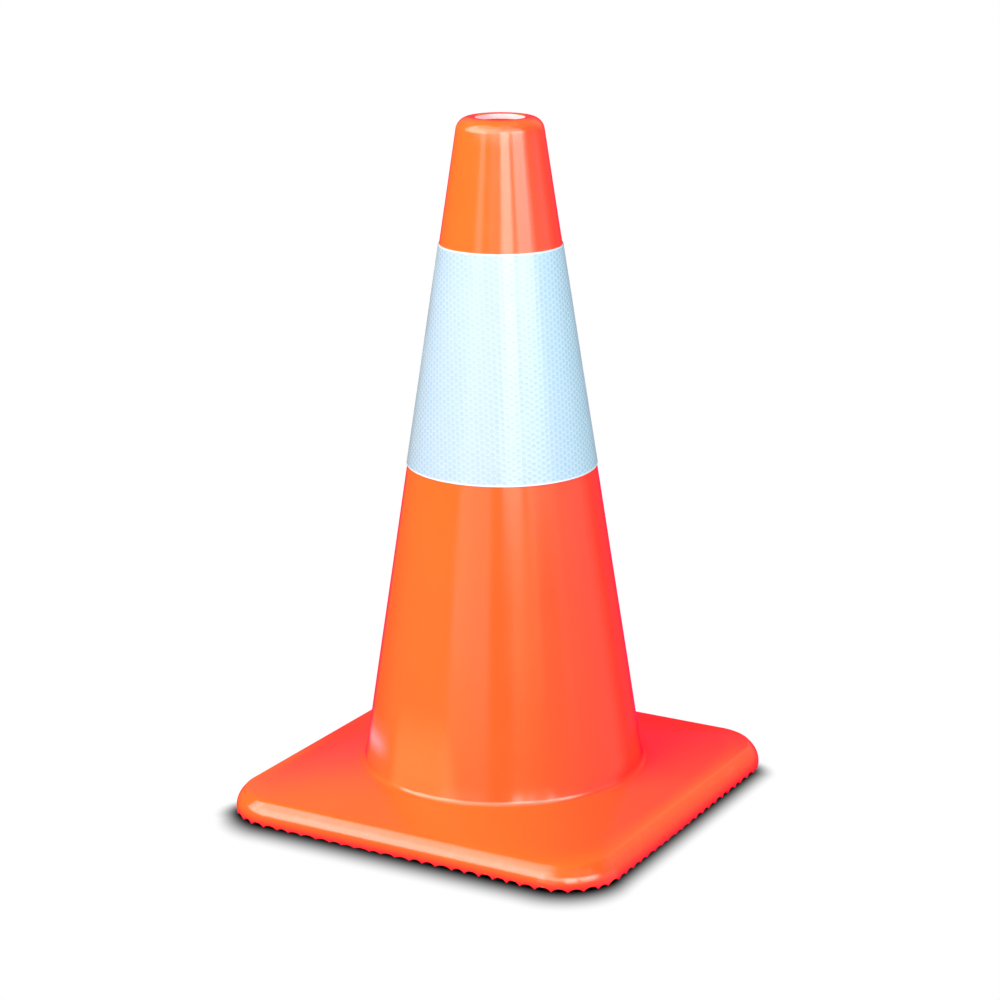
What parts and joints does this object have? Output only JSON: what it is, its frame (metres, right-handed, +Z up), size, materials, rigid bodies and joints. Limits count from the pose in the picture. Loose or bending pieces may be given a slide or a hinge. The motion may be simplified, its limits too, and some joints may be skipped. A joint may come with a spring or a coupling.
{
  "type": "traffic cone",
  "caption": "Tapered orange safety cone with a crowned square base, a scalloped lower edge, an open top and a bonded reflective band.",
  "frame": {"origin": "on the floor under the cone's axis, at the centre of the square base", "axes": "+Z up along the cone's axis, -Y out of one flat side of the base (the front), +X to the right; the band's seam faces +Y"},
  "size_m": [0.283, 0.283, 0.4572],
  "materials": {
    "skin_orange": "glossy flexible PVC, fluorescent orange",
    "ballast_dark": "dull regrind PVC, nearly black",
    "adhesive": "dull pressure-sensitive adhesive",
    "reflector": "silvery retroreflective backing",
    "face_film": "glossy film over pale honeycomb cells"
  },
  "bodies": {
    "root": {"cone_skin": "skin_orange", "base_ballast": "ballast_dark", "collar_adhesive": "adhesive", "collar_reflector": "reflector", "collar_face_film": "face_film"}
  },
  "joints": []
}
